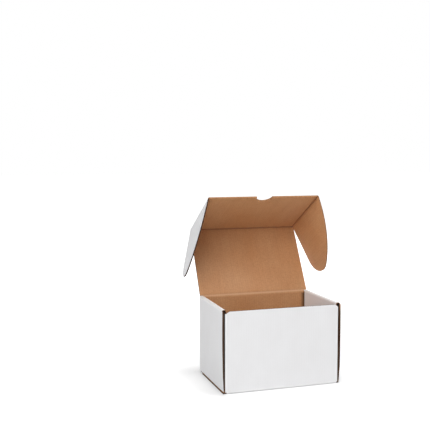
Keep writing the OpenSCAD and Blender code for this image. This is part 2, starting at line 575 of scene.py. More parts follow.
@dataclass(frozen=True)
class Grain:
    """Noise over the sheet, and the tint that it gives a paper.

    Args:
        per_mm: Lumps per millimetre along u and v.
        shift: Shift of the pattern along u, so that no two grains lie alike.
        octaves: Number of finer octaves.
        low: Noise at which the tint starts.
        high: Noise at which it is full.
        share: Share of the tint where it is full.
        rough: Strength of the finer octaves.
        skew: Shift along v, as a share of that along u.
    """

    per_mm: tuple[float, float]
    shift: float
    octaves: float
    low: float
    high: float
    share: float = 1.0
    rough: float = 0.55
    skew: float = 0.7


class Graph:
    """Nodes of one material or of the surroundings, wired up from code."""

    def __init__(self, owner: bpy.types.Material | bpy.types.World) -> None:
        """Starts with no nodes.

        Args:
            owner: What the nodes belong to.
        """
        owner.use_nodes = True
        self.owner = owner
        self.tree = owner.node_tree
        self.tree.nodes.clear()
        self._place: bpy.types.NodeSocket | None = None

    def feed(self, socket: bpy.types.NodeSocket, value: object) -> None:
        """Links a socket to another, or writes a constant on it.

        Args:
            socket: The input.
            value: The other socket or the constant.
        """
        if isinstance(value, bpy.types.NodeSocket):
            self.tree.links.new(value, socket)
        else:
            socket.default_value = value

    def add(self, kind: str, inputs: dict[str | int, object], **options: object) -> bpy.types.Node:
        """Adds a node.

        Args:
            kind: Its type, without the prefix that all types share.
            inputs: What each of its inputs gets, by name or place.
            options: Its other settings.

        Returns:
            The node.
        """
        node = self.tree.nodes.new(f"ShaderNode{kind}")
        for name, value in options.items():
            setattr(node, name, value)
        for key, value in inputs.items():
            self.feed(node.inputs[key], value)
        return node

    def place(self) -> bpy.types.NodeSocket:
        """Reads the place on the flat sheet, from one node for the whole graph.

        Returns:
            The place in millimetres.
        """
        if self._place is None:
            self._place = self.add("UVMap", {}, uv_map=SHEET_UV).outputs["UV"]
        return self._place

    def attribute(self, name: str) -> bpy.types.NodeSocket:
        """A number kept on the mesh."""
        return self.add("Attribute", {}, attribute_name=name).outputs["Fac"]

    def math(self, kind: str, a: object, b: object = 0.0,
             clamp: bool = False) -> bpy.types.NodeSocket:
        """One sum of two values, held between 0 and 1 if clamped."""
        return self.add("Math", {0: a, 1: b}, operation=kind, use_clamp=clamp).outputs[0]

    def flutes(self, board: Board) -> bpy.types.NodeSocket:
        """The wave of the flutes, from -1 to 1, across the sheet."""
        across = self.add("SeparateXYZ", {0: self.place()}).outputs["X"]
        return self.math("SINE", self.math("MULTIPLY", across, math.tau * MM / board.flute_pitch))

    def noise(self, grain: Grain) -> bpy.types.NodeSocket:
        """Noise over the sheet.

        Args:
            grain: Its scale and shift.

        Returns:
            A value around one half.
        """
        mapping = self.add("Mapping", {
            "Vector": self.place(),
            "Scale": (*grain.per_mm, 1.0),
            "Location": (grain.shift, grain.shift * grain.skew, grain.shift),
        })
        return self.add("TexNoise", {
            "Vector": mapping.outputs["Vector"],
            "Scale": 1.0,
            "Detail": grain.octaves,
            "Roughness": grain.rough,
        }).outputs["Fac"]

    def spread(self, value: object, low: float, high: float, to_low: float = 0.0,
               to_high: float = 1.0) -> bpy.types.NodeSocket:
        """Maps a value from one range to another and holds it there.

        Args:
            value: The value.
            low: Where its range starts.
            high: Where its range ends.
            to_low: What the start becomes.
            to_high: What the end becomes.

        Returns:
            The mapped value.
        """
        return self.add("MapRange", {
            "Value": value,
            "From Min": low,
            "From Max": high,
            "To Min": to_low,
            "To Max": to_high,
        }).outputs["Result"]

    def tone(self, noise: object, grain: Grain) -> bpy.types.NodeSocket:
        """Share of the tint that a grain's noise gives."""
        return self.spread(noise, grain.low, grain.high, 0.0, grain.share)

    def blend(self, share: object, a: object, b: object) -> bpy.types.NodeSocket:
        """Mixes two colours.

        Args:
            share: Share of the second.
            a: The first colour.
            b: The second colour.

        Returns:
            The mixed colour.
        """
        node = self.add("Mix", {"Factor": share}, data_type="RGBA")
        for name, value in (("A", a), ("B", b)):
            socket = next(s for s in node.inputs if s.name == name and s.type == "RGBA")
            self.feed(socket, (*value, 1.0) if isinstance(value, tuple) else value)
        return next(s for s in node.outputs if s.type == "RGBA")

    def scaled(self, colour: object, factor: object) -> bpy.types.NodeSocket:
        """A colour made lighter or darker by a factor."""
        inputs = {0: colour, "Scale": factor}
        return self.add("VectorMath", inputs, operation="SCALE").outputs[0]

    def bump(self, height: object, depth: float, base: object = None) -> bpy.types.NodeSocket:
        """Relief of the surface.

        Args:
            height: How high it stands, from 0 to 1.
            depth: Height in metres that 1 stands for.
            base: Relief that it lies on, if any.

        Returns:
            The normal.
        """
        inputs = {"Strength": 1.0, "Distance": depth, "Height": height}
        if base is not None:
            inputs["Normal"] = base
        return self.add("Bump", inputs).outputs["Normal"]

    def show(self, surface: bpy.types.NodeSocket, output: str = "OutputMaterial") -> None:
        """Ends the graph with a shader."""
        self.add(output, {"Surface": surface})

    def paper(self, colour: object, roughness: object, gloss: float,
              normal: object) -> bpy.types.Material:
        """Ends the graph as a paper.

        Args:
            colour: Its colour.
            roughness: Its roughness.
            gloss: Strength of its gloss.
            normal: Its relief.

        Returns:
            The material.
        """
        self.show(self.add("BsdfPrincipled", {
            "Base Color": colour,
            "Roughness": roughness,
            "Specular IOR Level": gloss,
            "Normal": normal,
        }).outputs["BSDF"])
        return self.owner


@dataclass(frozen=True)
class WhiteLiner:
    """Clay-coated white paper on the outside of the board.

    Args:
        board: The board it lies on.
        colour: Its colour.
        shade: Colour of its darker places.
        crease_scuff_and_highlight: Colour of its creases, partly scuffed and cracked paper and
            partly a painted highlight on the bend.
        crease_scuff_and_highlight_share: Share of that colour in a crease.
        unlit: Share of the colour that is left where shade is painted, in the dark.
        cloud: Wide uneven tint.
        fibre: Fine grain.
        wave: Tint between the flutes.
        roughness: Least and greatest roughness.
        matt: Range of the fine grain over which the roughness grows.
        gloss: Strength of the gloss.
        washboard: Height of the flutes that show through.
        grain: Height of the fine grain.
    """

    board: Board
    colour: Colour = (0.80, 0.80, 0.81)
    shade: Colour = (0.70, 0.69, 0.69)
    crease_scuff_and_highlight: Colour = (0.86, 0.86, 0.86)
    crease_scuff_and_highlight_share: float = 0.7
    unlit: float = 0.12
    cloud: Grain = Grain((0.035, 0.02), 3.1, 3.0, 0.35, 0.7, 0.22)
    fibre: Grain = Grain((1.1, 4.0), 7.7, 4.0, 0.35, 0.75, 0.12, 0.6)
    wave: float = 0.06
    roughness: tuple[float, float] = (0.49, 0.63)
    matt: tuple[float, float] = (0.3, 0.7)
    gloss: float = 0.35
    washboard: float = 0.010 * MM
    grain: float = 0.012 * MM

    def material(self) -> bpy.types.Material:
        """Builds the finish.

        Returns:
            Its material.
        """
        g = Graph(bpy.data.materials.new("white_liner"))
        wave = g.flutes(self.board)
        fibre = g.noise(self.fibre)
        tone = g.math("ADD", g.tone(g.noise(self.cloud), self.cloud), g.tone(fibre, self.fibre))
        tone = g.math("ADD", tone, g.spread(wave, -1.0, 1.0, self.wave, 0.0))
        # Creases get a paler colour: partly scuffed paper, partly a painted highlight where the
        # board bends.
        crease_scuff_and_highlight = g.math("MULTIPLY", g.math("ABSOLUTE", g.attribute(CREASE)), self.crease_scuff_and_highlight_share)
        colour = g.blend(crease_scuff_and_highlight, g.blend(tone, self.colour, self.shade), self.crease_scuff_and_highlight)
        # Painted shade: the colour darkens where both faces lie in the dark, in the dust flaps and
        # in the grooves by the side walls.
        lit = g.spread(g.attribute(PAINTED_SHADE), BROWN_DARK, BOTH_DARK, 1.0, self.unlit)
        roughness = g.spread(fibre, *self.matt, *self.roughness)
        relief = g.bump(fibre, self.grain, g.bump(wave, self.washboard))
        return g.paper(g.scaled(colour, lit), roughness, self.gloss, relief)


@dataclass(frozen=True)
class KraftLiner:
    """Brown kraft paper on the inside of the board.

    Args:
        board: The board it lies on.
        colour: Its colour.
        dark: Colour of its darker grain.
        pale: Colour of its paler places.
        fold: Painted shade inside a closed fold.
        crease_highlight: Painted highlight on the back of a fold.
        unlit: Share of the colour that is left where shade is painted, in the dark.
        cloud: Wide uneven tint.
        streak: Long streaks.
        fibre: Fine grain.
        fleck: Coarser flecks.
        wave: Tint between the flutes.
        folded: Crease from which the painted shade of a closed fold shows, where it is full, and
            its share.
        opened: The same for the painted highlight on the back of a fold.
        roughness: Its roughness.
        gloss: Strength of the gloss.
        washboard: Height of the flutes that show through.
        grain: Height of the fine grain.
    """

    board: Board
    colour: Colour = (0.55, 0.268, 0.111)
    dark: Colour = (0.36, 0.153, 0.060)
    pale: Colour = (0.60, 0.328, 0.158)
    fold: Colour = (0.235, 0.088, 0.034)
    crease_highlight: Colour = (0.68, 0.42, 0.25)
    unlit: float = 0.06
    cloud: Grain = Grain((0.022, 0.016), 1.3, 4.0, 0.3, 0.7)
    streak: Grain = Grain((0.16, 0.025), 5.9, 3.0, 0.45, 0.75, 0.18)
    fibre: Grain = Grain((0.9, 2.6), 2.4, 5.0, 0.46, 0.7, 0.42, 0.65)
    fleck: Grain = Grain((0.42, 0.5), 9.2, 3.0, 0.44, 0.68, 0.34, 0.65)
    wave: float = 0.10
    folded: tuple[float, float, float] = (0.1, 1.0, 0.55)
    opened: tuple[float, float, float] = (-0.2, -1.0, 0.7)
    roughness: float = 0.6
    gloss: float = 0.55
    washboard: float = 0.016 * MM
    grain: float = 0.015 * MM

    def material(self) -> bpy.types.Material:
        """Builds the finish.

        Returns:
            Its material.
        """
        g = Graph(bpy.data.materials.new("kraft_liner"))
        wave = g.flutes(self.board)
        fibre = g.noise(self.fibre)
        crease = g.attribute(CREASE)
        tints = [
            (g.tone(g.noise(self.streak), self.streak), self.dark),
            (g.tone(fibre, self.fibre), self.dark),
            (g.tone(g.noise(self.fleck), self.fleck), self.dark),
            (g.spread(wave, -1.0, 1.0, self.wave, 0.0), self.dark),
        ]
        # Painted highlight on the backs of opened folds and painted shade in closed ones, by the
        # depth of the crease.
        for (start, full, share), tint in ((self.opened, self.crease_highlight), (self.folded, self.fold)):
            tints.append((g.spread(crease, start, full, 0.0, share), tint))
        colour = g.blend(g.tone(g.noise(self.cloud), self.cloud), self.colour, self.pale)
        for share, tint in tints:
            colour = g.blend(share, colour, tint)
        # Painted shade: the colour darkens where the board lies in the dark, in the rolls, the
        # dust flaps, the grooves, on the walls' brown faces and beside the inner flaps.
        lit = g.spread(g.attribute(PAINTED_SHADE), 0.0, BROWN_DARK, 1.0, self.unlit)
        relief = g.bump(fibre, self.grain, g.bump(wave, self.washboard))
        return g.paper(g.scaled(colour, lit), self.roughness, self.gloss, relief)


@dataclass(frozen=True)
class RawEdge:
    """Cut edge of the board, with the wavy paper between its two flat papers.

    Args:
        board: The board that is cut.
        liner: Colour of the flat papers, partly their own brown and partly painted shade of the
            open edge.
        coat: Colour of the white coat, seen from its edge.
        medium: Colour of the wavy paper, partly its own brown and partly painted shade of the open
            edge.
        hollow: Painted shade in the hollows between the papers.
        torn: Colour where the flutes are closed by torn paper.
        coat_depth: Where the coat starts to end and has ended, in millimetres.
        blur: How softly a flat paper ends, in millimetres.
        ragged: How unevenly it ends, in millimetres.
        medium_fade: Share of the wavy paper's thickness where it fades, start and end.
        pressed: How far the board is pressed where its hollows start to close, and
            where they are as closed as pressing makes them.
        pressed_shut: How closed that is.
        fray: How unevenly the hollows close.
        fuzz: Fine grain of the cut.
        mottle: Range of the fine grain over which the cut gets lighter.
        mottling: Factors on the colour where it is darkest and lightest.
        roughness: Its roughness.
        gloss: Strength of its gloss.
        recess: Depth of the hollows.
        grain: Height of the fine grain.
    """

    board: Board
    liner: Colour = (0.15, 0.070, 0.038)
    coat: Colour = (0.42, 0.39, 0.37)
    medium: Colour = (0.105, 0.048, 0.028)
    hollow: Colour = (0.012, 0.006, 0.005)
    torn: Colour = (0.42, 0.215, 0.105)
    coat_depth: tuple[float, float] = (0.01, 0.03)
    blur: float = 0.04
    ragged: float = 0.05
    medium_fade: tuple[float, float] = (0.5, 1.1)
    pressed: tuple[float, float] = (0.1, 0.42)
    pressed_shut: float = 0.5
    fray: float = 0.12
    fuzz: Grain = Grain((3.0, 3.0), 4.4, 3.0, 0.3, 0.7, rough=0.6)
    mottle: tuple[float, float] = (0.25, 0.75)
    mottling: tuple[float, float] = (0.72, 1.25)
    roughness: float = 0.9
    gloss: float = 0.15
    recess: float = 0.15 * MM
    grain: float = 0.05 * MM

    def material(self) -> bpy.types.Material:
        """Builds the finish.

        Returns:
            Its material.
        """
        g = Graph(bpy.data.materials.new("raw_edge"))
        b = self.board
        fuzz = g.noise(self.fuzz)
        rough = (self.fuzz.low, self.fuzz.high)
        middle = b.thickness / 2 / MM
        depth = g.math("MULTIPLY", g.attribute(THROUGH), b.thickness / MM)
        swing = (b.thickness - 2 * b.liner - b.medium) / 2 / MM
        crest = g.math("ADD", g.math("MULTIPLY", g.flutes(b), swing), middle)
        off = g.math("ABSOLUTE", g.math("SUBTRACT", depth, crest))
        fade = [share * b.medium / MM for share in self.medium_fade]
        in_medium = g.spread(off, *fade, 1.0, 0.0)
        rim = g.math("ABSOLUTE", g.math("SUBTRACT", depth, middle))
        rim = g.math("ADD", rim, g.spread(fuzz, *rough, -self.ragged, self.ragged))
        core = middle - b.liner / MM
        in_liner = g.spread(rim, core - self.blur, core + self.blur)
        shut = g.spread(g.attribute(PRESSED), *self.pressed, 0.0, self.pressed_shut)
        closed = g.math("MAXIMUM", g.attribute(CLOSED), shut)
        closed = g.math("ADD", closed, g.spread(fuzz, *rough, -self.fray, self.fray), clamp=True)
        # The hollows get painted shade, near black, and the papers a brown darkened partly by
        # painted shade.
        colour = g.blend(in_medium, self.hollow, self.medium)
        for share, tint in (
            (in_liner, self.liner),
            (closed, self.torn),
            (g.spread(depth, *self.coat_depth, 1.0, 0.0), self.coat),
        ):
            colour = g.blend(share, colour, tint)
        colour = g.scaled(colour, g.spread(fuzz, *self.mottle, *self.mottling))
        solid = g.math("MAXIMUM", g.math("MAXIMUM", in_medium, in_liner), closed)
        relief = g.bump(solid, self.recess, g.bump(fuzz, self.grain))
        return g.paper(colour, self.roughness, self.gloss, relief)


class Finishes(Enum):
    """Places of the finishes among a piece's material slots."""

    WHITE = 0
    KRAFT = 1
    RAW = 2


@dataclass
class Joinery:
    """Gives folded sheets their thickness, their finishes and their body.

    Args:
        board: The board of the sheets.
        smooth_under: Angle in degrees up to which neighbouring faces look smooth.
        digits: Digits to which a vertex's share of the thickness is kept.
        materials: The finishes, in the order of their places.
    """

    board: Board
    smooth_under: float = 40.0
    digits: int = 3
    materials: list[bpy.types.Material] = field(default_factory=list)

    def prepare(self) -> None:
        """Makes the three finishes once, for all pieces."""
        self.materials = [
            WhiteLiner(self.board).material(),
            KraftLiner(self.board).material(),
            RawEdge(self.board).material(),
        ]

    def thicken(self, piece: bpy.types.Object) -> None:
        """Gives a folded sheet its board thickness and its finishes.

        Args:
            piece: The folded sheet, white face outwards.
        """
        select_only(piece)
        piece.data.materials.clear()
        for material in self.materials:
            piece.data.materials.append(material)
        outer = len(piece.data.vertices)
        self._weigh(piece)
        solid = piece.modifiers.new("board", "SOLIDIFY")
        solid.thickness = self.board.thickness
        solid.offset = -1.0
        solid.use_even_offset = True
        solid.use_quality_normals = True
        solid.vertex_group = piece.vertex_groups[0].name
        solid.material_offset = Finishes.KRAFT.value
        solid.material_offset_rim = Finishes.RAW.value
        bpy.ops.object.modifier_apply(modifier=solid.name)
        piece.vertex_groups.clear()
        depth = np.zeros(len(piece.data.vertices), np.float32)
        depth[outer:] = 1.0
        through = piece.data.attributes.new(THROUGH, "FLOAT", "POINT")
        through.data.foreach_set("value", depth)
        bpy.ops.object.shade_smooth_by_angle(angle=math.radians(self.smooth_under))

    def _weigh(self, piece: bpy.types.Object) -> None:
        """Writes the share of the thickness that is left at each vertex to a group.

        Args:
            piece: The folded sheet.
        """
        pressed = read(piece.data.attributes[PRESSED].data, "value")
        left = np.round(1.0 - pressed, self.digits)
        group = piece.vertex_groups.new(name="left")
        for value in np.unique(left):
            group.add(np.flatnonzero(left == value).tolist(), float(value), "REPLACE")

    def hand_over(self, piece: bpy.types.Object, body: str,
                  node: str | None = None) -> None:
        """Lets a finished piece ride on its body.

        Args:
            piece: The finished piece.
            body: The body that it moves with.
            node: The solid that it stands for, if any.
        """
        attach(piece, body)
        if node is not None:
            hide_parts(node)
        LOG.info("%s rides on %s, %d faces", piece.name, body, len(piece.data.polygons))

    def span(self, piece: bpy.types.Object, bodies: tuple[str, str], start: Vector, end: Vector,
             slot: str) -> None:
        """Bakes a crease piece's place into its mesh and logs the bodies it lies between; it does
        not bend with them.

        Args:
            piece: The finished crease.
            bodies: The bodies before and past it.
            start: Not used.
            end: Not used.
            slot: Not used.
        """
        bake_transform(piece)
        LOG.info("%s bends from %s to %s, %d faces", piece.name, *bodies, len(piece.data.polygons))


@dataclass(frozen=True)
class BoxSizes:
    """Sizes of the box, in metres, with the fits between its layers.

    Args:
        board: The board it is made of.
        inside_w: Inside width.
        inside_d: Inside depth.
        inside_h: Inside height.
        front_drop: Front panel's top edge below the side walls.
        lid_play: Height of the hinge line over the side walls.
        back_play: Play between the back panel and the rear ends of rolls and flaps.
        hinge_reach: Height of the strip of the back panel that bends with the lid.
    """

    board: Board
    inside_w: float = 150 * MM
    inside_d: float = 102 * MM
    inside_h: float = 102 * MM
    front_drop: float = 1 * MM
    lid_play: float = 0.2 * MM
    back_play: float = 0.8 * MM
    hinge_reach: float = 3.6 * MM

    @property
    def side_build(self) -> float:
        """Thickness of a side wall with its dust flap and rolled flap."""
        return 2 * self.board.step + self.board.thickness

    @property
    def tray_w(self) -> float:
        """Outside width."""
        return self.inside_w + 2 * self.side_build

    @property
    def tray_d(self) -> float:
        """Outside depth."""
        return self.inside_d + 2 * self.board.thickness

    @property
    def floor_top(self) -> float:
        """Height of the floor flaps' upper face."""
        return self.board.thickness + self.board.step

    @property
    def tray_h(self) -> float:
        """Height of the rolled side walls."""
        return self.floor_top + self.inside_h

    @property
    def hinge_y(self) -> float:
        """Where the lid's hinge line lies, on the brown face of the back."""
        return self.tray_d / 2 - self.board.thickness

    @property
    def hinge_z(self) -> float:
        """Height of the lid's hinge line."""
        return self.tray_h + self.lid_play


@dataclass
class Tray:
    """The tray: bottom, front, back and the rolled double side walls.

    Args:
        sizes: Sizes of the box.
        bottom_inset: Raw side edge of the bottom, in from the side wall.
        bottom_corner: Cut rear corner of the bottom, along the width and the depth.
        front_inset: Groove between the front's fold and the side wall.
        front_corner: Cut corner of the front panel, along the width and the height.
        dust_drop: Dust flap's top edge below the underside of the roll.
        roll_rise: How far the rolls stand above their proper height.
        wall_unlit: Painted shade on a side wall's inside, 1 as dark as the hollow of the roll.
        dust_end_gap: Dust flap's free end, from the back panel.
        dust_corner: Cut corners of a dust flap.
        dust_pressed: Share of its thickness that a trapped dust flap loses.
        roll_play: Play between a rolled flap and the front panel.
        inner_play: Play between the inner flap under the roll and the back panel.
        floor_lap: Width over which the floor flaps lap.
        roll_corner: Cut corner of a rolled flap, along the depth and the height.
        tab_w: Width of the lock tab.
        tab_from_back: Middle of the lock tab, from the back face.
        tab_play: Play around the lock tab.
        tab_taper: Narrowing of the lock tab on each side.
        kink_w: Width over which the upper floor flap starts to slope.
        under_share: Share of the bend below the side walls that gets painted shade.
        nook_reach: How far the painted shade beside the inner flaps reaches over the back.
        nook_shade: Strength of that painted shade where the inner flaps end.
        wall_torn: How torn the flutes are at the top of the right wall's front edge.
        bottom_torn: How torn they are along the bottom's side edges.
        bulge: How far the walls, left and right, bulge outwards high up in front.
        bulge_at: Height of the bulge, as a share of the wall's.
        bulge_reach: How far the bulge reaches, as a share of the wall's height.
        tuck_in: How far their front edges lean inwards at the foot.
        tuck_reach: How far that reaches, as a share of the wall's height.
        grip: Greatest distance along the edge of what is moved, as a share of the grid.
        grid: Pitch of the ruled lines.
    """

    sizes: BoxSizes
    bottom_inset: float = 0.6 * MM
    bottom_corner: tuple[float, float] = (2.5 * MM, 11 * MM)
    front_inset: float = 0.85 * MM
    front_corner: tuple[float, float] = (4.0 * MM, 2.0 * MM)
    dust_drop: float = 2.2 * MM
    roll_rise: float = 1.0 * MM
    wall_unlit: float = 0.88
    dust_end_gap: float = 1 * MM
    dust_corner: float = 6 * MM
    dust_pressed: float = 0.45
    roll_play: float = 0.7 * MM
    inner_play: float = 3.4 * MM
    floor_lap: float = 32 * MM
    roll_corner: tuple[float, float] = (20 * MM, 28 * MM)
    tab_w: float = 31 * MM
    tab_from_back: float = 49 * MM
    tab_play: float = 0.6 * MM
    tab_taper: float = 1 * MM
    kink_w: float = 0.4 * MM
    under_share: float = 0.7
    nook_reach: float = 4.5 * MM
    nook_shade: float = 0.72
    wall_torn: float = 0.8
    bottom_torn: float = 0.1
    bulge: tuple[float, float] = (1.15 * MM, 0.5 * MM)
    bulge_at: float = 0.72
    bulge_reach: float = 0.9
    tuck_in: tuple[float, float] = (0.7 * MM, 1.2 * MM)
    tuck_reach: float = 0.2
    grip: float = 0.75
    grid: float = 9 * MM

    def __post_init__(self) -> None:
        """Works out where every crease and edge lies on the flat sheet."""
        s, b = self.sizes, self.sizes.board
        self.bend = b.bend_width(SQUARE)
        self.floor_y = s.tray_d / 2 - b.bend_r
        self.back_x = s.tray_w / 2 - b.bend_r
        self.front_x = s.tray_w / 2 - b.thickness - self.front_inset - b.bend_r
        self.nook_x = s.tray_w / 2 - s.side_build
        self.wall_len = s.tray_d - b.bend_r
        self.dust_len = self.wall_len - b.thickness - self.dust_end_gap
        self.roll_flat = s.side_build - 2 * b.bend_r
        self.roll_back = b.thickness + s.back_play - b.bend_r
        self.roll_front = self.wall_len - b.thickness - self.roll_play
        self.inner_back = b.thickness + self.inner_play - b.bend_r
        self.flap_back = self.roll_back + s.back_play
        self.flap_len = self.back_x + self.floor_lap / 2
        self.slot_in = s.side_build - b.bend_r + self.tab_play
        self.slope_start = self.slot_in + self.tab_play
        slope_len = 2 * self.back_x - self.flap_len - self.slope_start
        self.lap_angle = math.degrees(math.atan(b.step / slope_len))
        self.tab_mid = self.tab_from_back - b.bend_r
        self.wall_low = b.step
        self.wall_high = s.tray_h + self.roll_rise - 2 * b.bend_r
        self.drop = self.wall_high + b.bend_r - s.floor_top - b.layer_gap
        self.tab_drop = self.drop + b.step
        self.front_high = s.tray_h - s.front_drop - b.bend_r
        self.dust_low = s.floor_top + 2 * b.layer_gap - b.bend_r
        self.dust_high = s.tray_h - b.thickness - self.dust_drop - b.bend_r
        self.back_high = s.hinge_z - b.bend_r - s.hinge_reach
        self._lay_out()

    def _lay_out(self) -> None:
        """Names the rectangles of the flat sheet, those of the sides on the right half."""
        half = self.sizes.tray_w / 2 - self.bottom_inset
        y0, w = self.floor_y, self.bend
        self.bottom = Panel(-half, -y0, half, y0)
        self.front_zone = Panel(-self.front_x, -y0 - w, self.front_x, -y0)
        v = -y0 - w
        self.front = Panel(-self.front_x, v - self.front_high, self.front_x, v)
        self.dust_zone = Panel(self.front_x, v - self.dust_high, self.front_x + w, v)
        u = self.front_x + w
        self.dust = Panel(u, v - self.dust_high, u + self.dust_len, v - self.dust_low)
        self.back_zone = Panel(-self.back_x, y0, self.back_x, y0 + w)
        v = y0 + w
        self.back = Panel(-self.back_x, v, self.back_x, v + self.back_high)
        low, high = v + self.wall_low, v + self.wall_high
        u = self.back_x + w
        self.wall_zone = Panel(self.back_x, low, u, high)
        self.wall = Panel(u, low, u + self.wall_len, high)
        r0, r1 = u + self.roll_back, u + self.roll_front
        self.roll_zone_a = Panel(r0, high, r1, high + w)
        self.roll = Panel(r0, high + w, r1, high + w + self.roll_flat)
        v = high + w + self.roll_flat
        self.roll_zone_b = Panel(r0, v, r1, v + w)
        v += w
        self.inner = Panel(u + self.inner_back, v, r1, v + self.drop)
        tab, tab_half = u + self.tab_mid, self.tab_w / 2
        self.tab = Panel(tab - tab_half, v + self.drop, tab + tab_half, v + self.tab_drop)
        f0 = u + self.flap_back
        self.floor_zone = Panel(f0, low - w, u + self.wall_len, low)
        self.floor = Panel(f0, low - w - self.flap_len, r1, low - w)
        slot = tab_half + self.tab_play
        self.slot = Panel(tab - slot, low - w - self.slot_in, tab + slot, low - w)
        kink = low - w - self.slope_start
        self.kink_zone = Panel(f0, kink - self.kink_w, r1, kink)
        self.lap = Panel(f0, low - w - self.flap_len, r1, kink - self.kink_w)

    def _right_panels(self) -> list[Panel]:
        """All rectangles that the right half has for itself."""
        return [self.dust_zone, self.dust, self.wall_zone, *self._wall_panels()]

    def _wall_panels(self) -> list[Panel]:
        """Those of the right half that turn up with its side wall."""
        return [self.wall, self.roll_zone_a, self.roll, self.roll_zone_b, self.inner, self.tab,
                self.floor_zone, self.floor]

    def _panels(self) -> list[Panel]:
        """All rectangles of the sheet."""
        right, middle = self._right_panels(), (self.bottom, self.front_zone, self.front)
        return [*middle, self.back_zone, self.back, *right, *on_side(Side.LEFT, *right)]

    def _rule(self, sheet: Sheet) -> None:
        """Rules the sheet along edges and bends, and in between.

        Args:
            sheet: The uncut sheet.
        """
        far, y0, top = self.wall.u1, self.floor_y, self.inner.v1 + self.tab_drop
        half, edge = self.bottom.u1, y0 - self.sizes.board.crease_fade
        sheet.score([], [-y0, y0])
        sheet.score(*self._front_lines(), Panel(-far, -far * 2, far, -y0))
        sheet.score([-half, half], [], Panel(-far, -y0, far, y0))
        across = [-edge, *centred(-y0, y0, self.grid), edge]
        sheet.score(centred(-half, half, self.grid), across, self.bottom)
        us, vs = self._side_lines()
        for where in (Panel(-far, y0, far, top), Panel(half, -y0, far, y0),
                      Panel(-far, -y0, -half, y0)):
            sheet.score(us, vs, where)

    def _front_lines(self) -> tuple[list[float], list[float]]:
        """Lines across u and across v that rule the front and the dust flaps.

        Returns:
            Both lists.
        """
        board = self.sizes.board
        us = edges_of((self.front, self.dust_zone, self.dust), 0)
        us += bend_lines(self.dust_zone, 0, board)
        us += centred(self.dust.u0, self.dust.u1, self.grid)
        us += [-u for u in us] + centred(-self.front_x, self.front_x, self.grid)
        vs = edges_of((self.front, self.front_zone, self.dust), 1)
        vs += bend_lines(self.front_zone, 1, board)
        vs += centred(self.front.v0, self.front.v1, self.grid)
        return us, vs

    def _side_lines(self) -> tuple[list[float], list[float]]:
        """Lines across u and across v that rule the back, the side walls and their flaps.

        Returns:
            Both lists.
        """
        board = self.sizes.board
        sides = (self.wall_zone, *self._wall_panels(), self.slot, self.kink_zone)
        us = edges_of(sides, 0) + bend_lines(self.wall_zone, 0, board)
        us += centred(self.wall.u0, self.wall.u1, self.grid)
        us += [self.nook_x - self.nook_reach, self.nook_x]
        us += [-u for u in us] + centred(-self.back_x, self.back_x, self.grid)
        vs = edges_of((*sides, self.back), 1)
        for zone in (self.back_zone, self.roll_zone_a, self.roll_zone_b, self.floor_zone):
            vs += bend_lines(zone, 1, board)
        for panel in (self.wall, self.inner):
            vs += centred(panel.v0, panel.v1, self.grid)
        return us, vs

    def _trim(self, sheet: Sheet) -> None:
        """Cuts the slanting corners.

        Args:
            sheet: The sheet, stripped of its waste.
        """
        front, bottom, dust, inner, tab = self.front, self.bottom, self.dust, self.inner, self.tab
        (fu, fv), (bu, bv), (iu, iv) = self.front_corner, self.bottom_corner, self.roll_corner
        k, t = self.dust_corner, self.tab_taper
        cuts = (
            (front, (front.u1, front.v0 + fv), (front.u1 - fu, front.v0), (1.0, -1.0)),
            (bottom, (bottom.u1 - bu, bottom.v1), (bottom.u1, bottom.v1 - bv), (1.0, 1.0)),
            (dust, (dust.u1, dust.v0 + k), (dust.u1 - k, dust.v0), (1.0, -1.0)),
            (dust, (dust.u1, dust.v1 - k), (dust.u1 - k, dust.v1), (1.0, 1.0)),
            (inner, (inner.u1, inner.v1 - iv), (inner.u1 - iu, inner.v1), (1.0, 1.0)),
            (tab, (tab.u1, tab.v0), (tab.u1 - t, tab.v1), (1.0, 0.0)),
            (tab, (tab.u0, tab.v0), (tab.u0 + t, tab.v1), (-1.0, 0.0)),
        )
        for side in Side:
            for panel, start, end, waste in cuts:
                self._corner(sheet, side, panel, (start, end, waste))

    @staticmethod
    def _corner(sheet: Sheet, side: Side, panel: Panel,
                line: tuple[Place, Place, Place]) -> None:
        """Cuts a corner off a panel.

        Args:
            sheet: The sheet being cut.
            side: The half on which it is cut.
            panel: The panel, on the right half.
            line: Both ends of the cut and a direction towards the waste, on the right half.
        """
        (au, av), (bu, bv), (out_u, out_v) = ((side.value * u, v) for u, v in line)
        normal = Vector((bv - av, au - bu, 0.0)).normalized()
        if normal.x * out_u + normal.y * out_v < 0:
            normal.negate()
        sheet.cut(panel.on(side), Vector((au, av, 0.0)), normal, waste=True)

    def _mark(self, sheet: Sheet) -> None:
        """Presses trapped board, paints shade on the rolled walls, the dust flaps, the grooves and
        the back beside the inner flaps, and closes cut hollows.

        Args:
            sheet: The cut sheet, still flat.
        """
        flat = sheet.flat()
        u, v = flat[:, 0], flat[:, 1]
        low_bend = self.floor_zone.v0 + self.under_share * self.bend
        dust_middle = (self.dust_zone.u0 + self.dust_zone.u1) / 2
        rolled_panels = (self.roll_zone_a, self.roll, self.roll_zone_b, self.inner, self.tab)
        for side in Side:
            out = side.value * u
            dust = self.dust.on(side).holds(flat)
            rolled = within(flat, *on_side(side, *rolled_panels))
            wall = within(flat, *on_side(side, self.wall, self.wall_zone))
            top = wall & (v > self.wall.v1 - self.grid)
            nook = self.back.holds(flat) & (out > self.nook_x - ON_LINE)
            nook &= v < self.wall.v1 + ON_LINE
            bend = self.dust_zone.on(side).holds(flat) & (out > dust_middle + ON_LINE)
            under = self.floor_zone.on(side).holds(flat) & (v < low_bend + ON_LINE)
            sheet.mark(PRESSED, dust, self.dust_pressed)
            sheet.mark(PRESSED, self.roll.on(side).holds(flat), self.sizes.board.crush)
